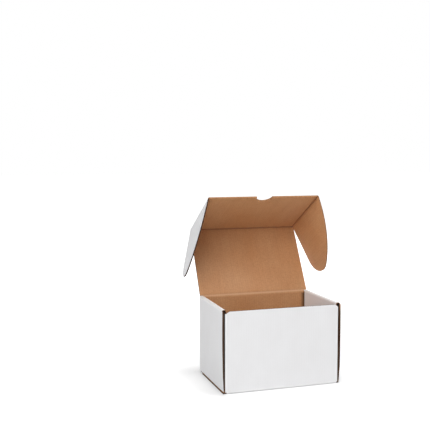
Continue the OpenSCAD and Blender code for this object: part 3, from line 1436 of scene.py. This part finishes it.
            # Painted shade: the walls' brown faces, the back beside the inner flaps, the rolls,
            # the dust flaps and the grooves beside and under the walls.
            sheet.mark(PAINTED_SHADE, wall, self.wall_unlit)
            sheet.mark(PAINTED_SHADE, nook, self.nook_shade)
            sheet.mark(PAINTED_SHADE, rolled | top, BROWN_DARK)
            sheet.mark(PAINTED_SHADE, dust | bend | under, BOTH_DARK)
            if side is Side.RIGHT:
                sheet.mark(CLOSED, top & (u > self.wall.u1 - ON_LINE), self.wall_torn)
        sheet.mark(CLOSED, np.abs(np.abs(u) - self.bottom.u1) < ON_LINE, self.bottom_torn)

    def _fold(self, sheet: Sheet) -> None:
        """Folds the sheet, the outermost creases first.

        Args:
            sheet: The cut sheet, still flat.
        """
        r = self.sizes.board.bend_r
        kink_r = self.kink_w / math.radians(self.lap_angle)
        sheet.fold(Fold(Line.ALONG_U, self.kink_zone.v1, -1, self.lap_angle, self.kink_zone,
                        (self.lap,), kink_r))
        rolled = (self.roll, self.roll_zone_b, self.inner, self.tab)
        wall = self._wall_panels()
        for side in Side:
            s = side.value
            for line, start, sign, zone, past in (
                (Line.ALONG_V, s * self.front_x, s, self.dust_zone, (self.dust,)),
                (Line.ALONG_U, self.roll_zone_b.v0, 1, self.roll_zone_b, (self.inner, self.tab)),
                (Line.ALONG_U, self.roll_zone_a.v0, 1, self.roll_zone_a, rolled),
                (Line.ALONG_U, self.floor_zone.v1, -1, self.floor_zone, (self.floor,)),
                (Line.ALONG_V, s * self.back_x, s, self.wall_zone, wall),
            ):
                sheet.fold(Fold(line, start, sign, SQUARE, zone.on(side), on_side(side, *past), r))
        for start, sign, zone, middle, ends in (
            (self.floor_y, 1, self.back_zone, self.back, (self.wall_zone, *wall)),
            (-self.floor_y, -1, self.front_zone, self.front, (self.dust_zone, self.dust)),
        ):
            past = (middle, *ends, *on_side(Side.LEFT, *ends))
            sheet.fold(Fold(Line.ALONG_U, start, sign, SQUARE, zone, past, r))

    def _bow(self, sheet: Sheet) -> None:
        """Lets the side walls bulge a little and lean in at the foot of their front edge.

        Args:
            sheet: The folded sheet.
        """
        flat = sheet.flat()
        u, v = flat[:, 0], flat[:, 1]
        foot, tall = self.wall.v0, self.wall.v1 - self.wall.v0
        for side, out, tuck in zip(Side, self.bulge, self.tuck_in):
            edge = (np.abs(u - side.value * self.wall.u1) < ON_LINE) & (v > foot - ON_LINE)
            for height, shift, reach in ((foot + self.bulge_at * tall, out, self.bulge_reach),
                                         (foot, -tuck, self.tuck_reach)):
                near = edge & (np.abs(v - height) < self.grip * self.grid)
                with sheet.chosen(Element.POINTS, near):
                    bpy.ops.transform.translate(
                        value=(side.value * shift, 0.0, 0.0),
                        use_proportional_edit=True,
                        use_proportional_connected=True,
                        proportional_edit_falloff="SMOOTH",
                        proportional_size=reach * tall,
                    )

    def build(self, joinery: Joinery) -> bpy.types.Object:
        """Cuts and folds the tray.

        Args:
            joinery: Gives the board its thickness and finishes.

        Returns:
            The finished tray.
        """
        sheet = Sheet("tray_board", self._panels(), self.sizes.board)
        self._rule(sheet)
        sheet.strip_waste((self.slot, self.slot.mirrored()))
        self._trim(sheet)
        sheet.record_flat()
        self._mark(sheet)
        self._fold(sheet)
        self._bow(sheet)
        joinery.thicken(sheet.obj)
        joinery.hand_over(sheet.obj, "tray", "tray")
        return sheet.obj


@dataclass(frozen=True)
class Stand:
    """How the open lid stands.

    Args:
        hinge: Middle of the hinge line.
        fold: Middle of the corner between the lid and its tuck flap.
        along: Direction from the hinge up the lid.
        inward: Direction in which the tuck flap stands off the lid.
    """

    hinge: Vector
    fold: Vector
    along: Vector
    inward: Vector


@dataclass
class LidSheet:
    """The lid, its tuck flap and the two ears, folded from the same sheet.

    Args:
        sizes: Sizes of the box.
        lid_angle: Angle at which the lid stands, from closed.
        flap_angle: Angle of the tuck flap to the lid.
        ear_angle: Angle of the ears' joints to the tuck flap.
        ear_spring: How much further each ear, left and right, has really folded.
        lid_inset: Lid's side edge, in from the side wall.
        tuck_play: Play between the tucked flap and the front panel.
        tuck_floor_play: Play between the flap's free edge and the floor.
        flap_inset: End of the flap's fold line, in from the lid's edge.
        notch_r: Radius of the thumb notch.
        ear_end_gap: Tip of a tucked ear, from the back panel.
        ear_tip_r: Radius of an ear's tip.
        ear_lead: Angle at which the ear's curve leaves the free edge.
        ear_foot_play: Play between an ear's foot and the lid.
        ear_foot_slope: Slope of the foot away from the lid.
        hinge_r: Radius of the hinge's bend on the white face.
        reach: How far each crease piece reaches from its corner.
        bend_reach: Distance from a crease's corner that is passed to Joinery.span, which does not
            use it.
        arc_steps: Points of the ear's long curve and of its tip.
        notch_steps: Chords of the thumb notch.
        free_torn: How torn the flutes are along the free edge.
        right_torn: How torn they are round the right ear.
        notch_torn: How torn they are round the notch.
        grid: Pitch of the ruled lines.
    """

    sizes: BoxSizes
    lid_angle: float = 119.5
    flap_angle: float = 90.0
    ear_angle: float = 74.0
    ear_spring: tuple[float, float] = (-2.0, 2.5)
    lid_inset: float = 1 * MM
    tuck_play: float = 0.3 * MM
    tuck_floor_play: float = 1.9 * MM
    flap_inset: float = 0.3 * MM
    notch_r: float = 11 * MM
    ear_end_gap: float = 17 * MM
    ear_tip_r: float = 26 * MM
    ear_lead: float = 11.8
    ear_foot_play: float = 0.5 * MM
    ear_foot_slope: float = 2.5
    hinge_r: float = 0.8 * MM
    reach: float = 4.8 * MM
    bend_reach: float = 3 * MM
    arc_steps: tuple[int, int] = (22, 24)
    notch_steps: int = 24
    free_torn: float = 1.0
    right_torn: float = 0.7
    notch_torn: float = 0.8
    grid: float = 9 * MM

    def __post_init__(self) -> None:
        """Works out where every crease and edge lies on the flat sheet."""
        s, b = self.sizes, self.sizes.board
        self.lid_half = s.tray_w / 2 - self.lid_inset
        self.lid_len = s.inside_d - self.tuck_play
        self.flap_len = s.hinge_z + b.thickness - s.floor_top - self.tuck_floor_play
        self.flap_half = self.lid_half - self.flap_inset
        self.ear_reach = s.inside_d - self.ear_end_gap
        self.ear_foot = self.flap_len - b.thickness - self.ear_foot_play
        self.hinge_bend = self.lid_angle - SQUARE
        self.hinge_t = self._tangent(self.hinge_r + b.thickness, self.hinge_bend)
        self.hinge_w = (self.hinge_r + b.thickness / 2) * math.radians(self.hinge_bend)
        self.flap_t = self._tangent(b.bend_r, self.flap_angle)
        self.flap_w = b.bend_width(self.flap_angle)
        self.ear_t = self._tangent(b.bend_r, self.ear_angle)
        self.ear_w = b.bend_width(self.ear_angle)
        self.lid_v = self.hinge_w - 2 * self.hinge_t
        self.flap_v = self.lid_v + self.lid_len - 2 * self.flap_t + self.flap_w
        self.ear_u = self.flap_half - 2 * self.ear_t + self.ear_w
        self._lay_out()

    @staticmethod
    def _tangent(radius: float, angle: float) -> float:
        """Distance from the corner of a fold, in degrees, to where its bend starts."""
        return radius * math.tan(math.radians(angle / 2))

    def _lay_out(self) -> None:
        """Names the rectangles of the flat sheet, v from the hinge line."""
        half = self.sizes.tray_w / 2 - self.sizes.board.bend_r
        stub = self.sizes.hinge_reach
        self.stub = Panel(-half, -stub, half, -self.hinge_t)
        self.hinge_zone = Panel(-half, -self.hinge_t, half, self.hinge_w - self.hinge_t)
        lid_end = self.lid_v + self.lid_len - self.flap_t
        self.lid = Panel(-self.lid_half, self.hinge_zone.v1, self.lid_half, lid_end)
        fold_u = self.flap_half - self.ear_t
        self.flap_zone = Panel(-self.flap_half, lid_end, self.flap_half, lid_end + self.flap_w)
        self.free_v = self.flap_v + self.flap_len
        self.flap = Panel(-fold_u, self.flap_zone.v1, fold_u, self.free_v)
        foot = self.free_v - self.ear_foot
        self.ear_zone = Panel(fold_u, foot, fold_u + self.ear_w, self.free_v)
        tip = self.ear_u + self.ear_reach
        self.ear = Panel(self.ear_zone.u1, self.flap_zone.v1, tip, self.free_v)

    def _ear_panels(self) -> tuple[Panel, ...]:
        """Rectangles of both ears and their folds."""
        return (self.ear_zone, self.ear, *on_side(Side.LEFT, self.ear_zone, self.ear))

    def _ear_outline(self) -> list[Vector]:
        """Draws the outline of the right ear on the flat sheet.

        Returns:
            Its points, from the free edge to the foot.
        """
        tip_y = self.ear_reach - self.ear_tip_r
        slope, lead_angle = math.radians(self.ear_foot_slope), math.radians(self.ear_lead)
        tip_x = self.ear_foot - tip_y * math.tan(slope) - self.ear_tip_r / math.cos(slope)
        tip = Vector((tip_x, tip_y))
        lead = Vector((math.cos(lead_angle), -math.sin(lead_angle)))
        sweep_r = (tip.dot(tip) - self.ear_tip_r**2) / (2 * (lead.dot(tip) - self.ear_tip_r))
        sweep = lead * sweep_r
        join = math.atan2(tip.y - sweep.y, tip.x - sweep.x)
        first = math.pi - lead_angle
        long_steps, tip_steps = self.arc_steps
        arcs = ((sweep, sweep_r, np.linspace(first, join, long_steps)),
                (tip, self.ear_tip_r, np.linspace(join, slope, tip_steps)[1:]))
        points = [centre + radius * Vector((math.cos(a), math.sin(a)))
                  for centre, radius, angles in arcs for a in angles]
        points.append(Vector((self.ear_foot, 0.0)))
        return [Vector((self.ear_u + p.y, self.free_v - p.x, 0.0)) for p in points]

    def _rule(self, sheet: Sheet) -> None:
        """Rules the sheet along edges and bends, and in between.

        Args:
            sheet: The uncut sheet.
        """
        board, reach = self.sizes.board, self.reach
        panels = (self.stub, self.hinge_zone, self.lid, self.flap_zone, self.flap, self.ear_zone,
                  self.ear)
        us = edges_of(panels, 0) + bend_lines(self.ear_zone, 0, board)
        us += [self.flap_half - reach, self.ear_u + reach, self.notch_r]
        us += centred(self.ear.u0 + reach, self.ear.u1, self.grid)
        us += [-u for u in us]
        us += centred(-self.flap.u1 + reach, self.flap.u1 - reach, self.grid)
        vs = edges_of(panels, 1)
        for zone in (self.hinge_zone, self.flap_zone):
            vs += bend_lines(zone, 1, board)
        vs += [self.lid_v + reach, self.lid_v + self.lid_len - reach, self.flap_v + reach]
        for panel in (self.lid, self.flap):
            vs += centred(panel.v0, panel.v1, self.grid)
        sheet.score(us, vs)

    def _cut_notch(self, sheet: Sheet) -> None:
        """Cuts the round thumb notch into the free edge, a chord at a time.

        Args:
            sheet: The trimmed sheet.
        """
        r, steps = self.notch_r, self.notch_steps
        ring = [Vector((-r * math.cos(a), self.free_v - r * math.sin(a), 0.0))
                for a in np.linspace(0.0, math.pi, steps + 1)]
        box = Panel(-r, self.free_v - r - self.grid, r, self.free_v)
        for p in ring[1:-1]:
            sheet.cut(box, p, Vector((1.0, 0.0, 0.0)))
        for a, b in zip(ring, ring[1:]):
            column = Panel(a.x, box.v0, b.x, box.v1)
            along = b - a
            sheet.cut(column, a, Vector((along.y, -along.x, 0.0)).normalized())
        centres = sheet.centres()
        away = np.hypot(centres[:, 0], centres[:, 1] - self.free_v)
        sheet.discard(away < r * math.cos(math.pi / steps / 2) - ON_LINE)

    def _mark(self, sheet: Sheet) -> None:
        """Closes cut hollows where the flutes are torn.

        Args:
            sheet: The cut sheet, still flat.
        """
        flat = sheet.flat()
        u, v = flat[:, 0], flat[:, 1]
        sheet.mark(CLOSED, v > self.free_v - ON_LINE, self.free_torn)
        sheet.mark(CLOSED, u > self.ear.u0 + ON_LINE, self.right_torn)
        sheet.mark(CLOSED, np.hypot(u, v - self.free_v) < self.notch_r + ON_LINE, self.notch_torn)

    def _fold(self, sheet: Sheet) -> None:
        """Folds the ears, then the tuck flap, then the hinge.

        Args:
            sheet: The cut sheet, still flat.
        """
        board = self.sizes.board
        for side, spring in zip(Side, self.ear_spring):
            zone, ear = on_side(side, self.ear_zone, self.ear)
            start, angle = side.value * self.ear_zone.u0, self.ear_angle + spring
            ear_r = self.ear_w / math.radians(angle) + board.thickness / 2
            sheet.fold(Fold(Line.ALONG_V, start, side.value, angle, zone, (ear,), ear_r))
        ears = self._ear_panels()
        sheet.fold(Fold(Line.ALONG_U, self.flap_zone.v0, 1, self.flap_angle, self.flap_zone,
                        (self.flap, *ears), board.bend_r))
        past = (self.lid, self.flap_zone, self.flap, *ears)
        sheet.fold(Fold(Line.ALONG_U, self.hinge_zone.v0, 1, -self.hinge_bend, self.hinge_zone,
                        past, -self.hinge_r))

    def _stand(self) -> Stand:
        """Works out how the lid stands on the box.

        Returns:
            Its corners and directions.
        """
        s = self.sizes
        a = math.radians(self.lid_angle)
        along = Vector((0.0, -math.cos(a), math.sin(a)))
        inward = Vector((0.0, -math.sin(a), -math.cos(a)))
        hinge = Vector((0.0, s.hinge_y, s.hinge_z))
        fold = hinge - inward * s.board.thickness + along * self.lid_len
        return Stand(hinge, fold, along, inward)

    def build(self, joinery: Joinery) -> list[bpy.types.Object]:
        """Cuts, folds and parts the lid's sheet.

        Args:
            joinery: Gives the board its thickness, finishes and bodies.

        Returns:
            All finished pieces.
        """
        panels = [self.stub, self.hinge_zone, self.lid, self.flap_zone, self.flap]
        panels += self._ear_panels()
        sheet = Sheet("lid_board", panels, self.sizes.board)
        self._rule(sheet)
        sheet.strip_waste()
        whole_ear = Panel(self.ear_zone.u0, self.ear.v0, self.ear.u1, self.ear.v1)
        outline = self._ear_outline()
        sheet.trim(whole_ear.mirrored(), [Vector((-p.x, p.y, 0.0)) for p in outline])
        sheet.trim(whole_ear, outline[::-1])
        self._cut_notch(sheet)
        sheet.record_flat()
        self._mark(sheet)
        self._fold(sheet)
        where = Matrix.Translation((0.0, self.sizes.tray_d / 2, self.sizes.hinge_z))
        sheet.place(where @ Matrix.Rotation(math.pi / 2, 4, "X"))
        return self._part(sheet, joinery)

    def _part(self, sheet: Sheet, joinery: Joinery) -> list[bpy.types.Object]:
        """Parts the folded sheet into panels and crease pieces.

        Args:
            sheet: The folded sheet.
            joinery: Gives the board its thickness, finishes and bodies.

        Returns:
            All finished pieces.
        """
        far = self.lid_v + self.lid_len - self.reach
        near = self.flap_v + self.reach
        seam, ear_seam, edge = self.flap_half - self.reach, self.ear_u + self.reach, self.ear.u1
        hinge = sheet.part_off("lid_crease",
                               Panel(-edge, self.stub.v0, edge, self.lid_v + self.reach))
        flap_fold = sheet.part_off("flap_crease", Panel(-seam, far, seam, near),
                                   Panel(-edge, far, edge, self.flap_zone.v1))
        ears, folds = {}, {}
        for side, name in EARS:
            outer = Panel(ear_seam, self.flap_v, edge, self.free_v).on(side)
            bend = Panel(seam, self.flap_zone.v1, ear_seam, self.free_v).on(side)
            ears[name] = sheet.part_off(f"{name}_board", outer)
            folds[name] = sheet.part_off(f"{name}_crease", bend)
        flap = sheet.part_off("flap_board", Panel(-seam, near, seam, self.free_v))
        for piece in (hinge, flap_fold, flap, *ears.values(), *folds.values(), sheet.obj):
            joinery.thicken(piece)
        joinery.hand_over(sheet.obj, "lid", "lid")
        joinery.hand_over(flap, "tuck_flap", "tuck_flap")
        stand, start = self._stand(), self.bend_reach
        joinery.span(hinge, ("tray", "lid"), stand.hinge - Vector((0.0, 0.0, start)),
                     stand.hinge + stand.along * start, "kraft_board")
        joinery.span(flap_fold, ("lid", "tuck_flap"), stand.fold - stand.along * start,
                     stand.fold + stand.inward * start, "kraft_board")
        angle = math.radians(self.ear_angle)
        for side, name in EARS:
            joinery.hand_over(ears[name], name, name)
            out = Vector((side.value, 0.0, 0.0))
            corner = stand.fold + out * self.flap_half
            ear = out * math.cos(angle) - stand.along * math.sin(angle)
            joinery.span(folds[name], ("tuck_flap", name), corner - out * start,
                         corner + ear * start, "kraft_board")
        return [sheet.obj, hinge, flap_fold, flap, *ears.values(), *folds.values()]


@dataclass(frozen=True)
class Lamp:
    """A soft square lamp that points at the box.

    Args:
        name: Name of the lamp.
        azimuth: Where it hangs, in degrees: 0 before the box, positive to the right.
        elevation: Height over the floor, in degrees.
        power: Power in watts.
        size: Edge of the lamp.
        distance: Distance from the box.
    """

    name: str
    azimuth: float
    elevation: float
    power: float
    size: float = 1.6
    distance: float = 2.0

    def hang(self, target: Vector) -> None:
        """Hangs the lamp around its target.

        Args:
            target: The place that it points at.
        """
        a, e = math.radians(self.azimuth), math.radians(self.elevation)
        way = Vector((math.sin(a) * math.cos(e), -math.cos(a) * math.cos(e), math.sin(e)))
        bpy.ops.object.light_add(type="AREA", location=target + way * self.distance)
        lamp = bpy.context.object
        lamp.name = self.name
        lamp.data.size = self.size
        lamp.data.energy = self.power
        lamp.rotation_euler = (-way).to_track_quat("-Z", "Y").to_euler()


@dataclass
class Studio:
    """Plain pale floor, soft lights and the camera.

    Args:
        floor_size: Edge of the floor.
        floor_level: Its height, just under the box.
        floor_colour: Its colour.
        foot: Half width and half depth of the place that the box stands on.
        lift: Light that the floor adds for the camera, at the box and a little away.
        lift_reach: Distance from the box of the second of those, and of full white.
        sky: Strength of the light from all round.
        lamps: The soft lamps.
        aim: Place that the lamps point at.
        sensor: Width of the camera's sensor, in millimetres.
        focal: Its focal length, in millimetres.
        nearest: Distance from which the camera sees.
        eye: Place of the camera.
        yaw: Turn of the camera towards +X, in degrees.
        pitch: Tilt of the camera downwards, in degrees.
        roll: Turn of the camera about its own view, in degrees.
    """

    floor_size: float = 24.0
    floor_level: float = -0.0002
    floor_colour: Colour = (0.80, 0.80, 0.80)
    foot: tuple[float, float] = (0.081, 0.053)
    lift: tuple[float, float] = (0.12, 0.42)
    lift_reach: tuple[float, float] = (0.035, 1.2)
    sky: float = 0.12
    lamps: tuple[Lamp, ...] = (
        Lamp("front_left_low", -40.0, 20.0, 14.3),
        Lamp("front_left_high", -40.0, 50.0, 21.4),
        Lamp("right_high", 75.0, 50.0, 25.4),
        Lamp("back_high", 180.0, 45.0, 6.0),
    )
    aim: tuple[float, float, float] = (0.0, 0.02, 0.1)
    sensor: float = 36.0
    focal: float = 61.49
    nearest: float = 0.01
    eye: tuple[float, float, float] = (-0.3602, -0.9062, 0.2946)
    yaw: float = 17.51
    pitch: float = 4.41
    roll: float = -0.08

    def add_floor(self) -> None:
        """Lays the floor under the box."""
        bpy.ops.object.select_all(action="DESELECT")
        where = (0.0, 0.0, self.floor_level)
        bpy.ops.mesh.primitive_plane_add(size=self.floor_size, location=where)
        floor = bpy.context.object
        floor.name = "floor"
        bpy.ops.object.transform_apply(location=True, rotation=True, scale=True)
        g = Graph(bpy.data.materials.new("floor"))
        diffuse = g.add("BsdfDiffuse", {"Color": (*self.floor_colour, 1.0)})
        strength = g.math("MULTIPLY", self._seen(g), self._ramp(g))
        lift = g.add("Emission", {"Color": WHITE_LIGHT, "Strength": strength})
        g.show(g.add("AddShader", {0: diffuse.outputs[0], 1: lift.outputs[0]}).outputs[0])
        floor.data.materials.append(g.owner)

    def _ramp(self, g: Graph) -> bpy.types.NodeSocket:
        """The floor's own light, which grows to white away from the box.

        Args:
            g: The graph that it is in.

        Returns:
            Its strength.
        """
        place = g.add("TexCoord", {}).outputs["Object"]
        place = g.add("VectorMath", {0: place}, operation="ABSOLUTE").outputs["Vector"]
        foot = (*self.foot, 1.0)
        place = g.add("VectorMath", {0: place, 1: foot}, operation="SUBTRACT").outputs["Vector"]
        zero = (0.0, 0.0, 0.0)
        place = g.add("VectorMath", {0: place, 1: zero}, operation="MAXIMUM").outputs["Vector"]
        away = g.add("VectorMath", {0: place}, operation="LENGTH").outputs["Value"]
        near, far = self.lift_reach
        return g.math("ADD", g.spread(away, 0.0, near, *self.lift),
                      g.spread(away, near, far, 0.0, 1.0 - self.lift[1]))

    @staticmethod
    def _seen(g: Graph) -> bpy.types.NodeSocket:
        """Tells whether the ray comes from the camera, a gloss or a clear body.

        Args:
            g: The graph that it is in.

        Returns:
            One where it does, and zero elsewhere.
        """
        path = g.add("LightPath", {})
        total = path.outputs["Is Camera Ray"]
        for name in ("Is Glossy Ray", "Is Transmission Ray"):
            total = g.math("MAXIMUM", total, path.outputs[name])
        return total

    def add_sky(self) -> None:
        """Makes the surroundings white to the eye and softly lit."""
        g = Graph(bpy.data.worlds.new("surroundings"))
        light = g.add("Background", {"Color": WHITE_LIGHT, "Strength": self.sky})
        white = g.add("Background", {"Color": WHITE_LIGHT, "Strength": 1.0})
        inputs = {0: self._seen(g), 1: light.outputs[0], 2: white.outputs[0]}
        g.show(g.add("MixShader", inputs).outputs[0], "OutputWorld")
        bpy.context.scene.world = g.owner

    def add_camera(self) -> None:
        """Sets up the camera as the photograph was taken."""
        yaw, pitch, roll = (math.radians(x) for x in (self.yaw, self.pitch, self.roll))
        ahead = Vector((
            math.sin(yaw) * math.cos(pitch), math.cos(yaw) * math.cos(pitch), -math.sin(pitch)
        ))
        level = Vector((math.cos(yaw), -math.sin(yaw), 0.0))
        up = level.cross(ahead)
        right = level * math.cos(roll) + up * math.sin(roll)
        up = up * math.cos(roll) - level * math.sin(roll)
        basis = Matrix((right, up, -ahead)).transposed().to_4x4()
        bpy.ops.object.camera_add()
        camera = bpy.context.object
        camera.matrix_world = Matrix.Translation(self.eye) @ basis
        camera.data.sensor_width = self.sensor
        camera.data.lens = self.focal
        camera.data.clip_start = self.nearest
        bpy.context.scene.camera = camera

    def build(self) -> None:
        """Sets up the whole studio."""
        self.add_camera()
        self.add_floor()
        self.add_sky()
        for lamp in self.lamps:
            lamp.hang(Vector(self.aim))
        bpy.context.scene.view_settings.view_transform = "Standard"


def main() -> None:
    """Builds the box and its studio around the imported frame."""
    logging.basicConfig(level=logging.INFO, format="%(name)s: %(message)s")
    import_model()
    board = Board()
    sizes = BoxSizes(board)
    Studio().build()
    joinery = Joinery(board)
    joinery.prepare()
    Tray(sizes).build(joinery)
    LidSheet(sizes).build(joinery)


if __name__ == "__main__":
    main()
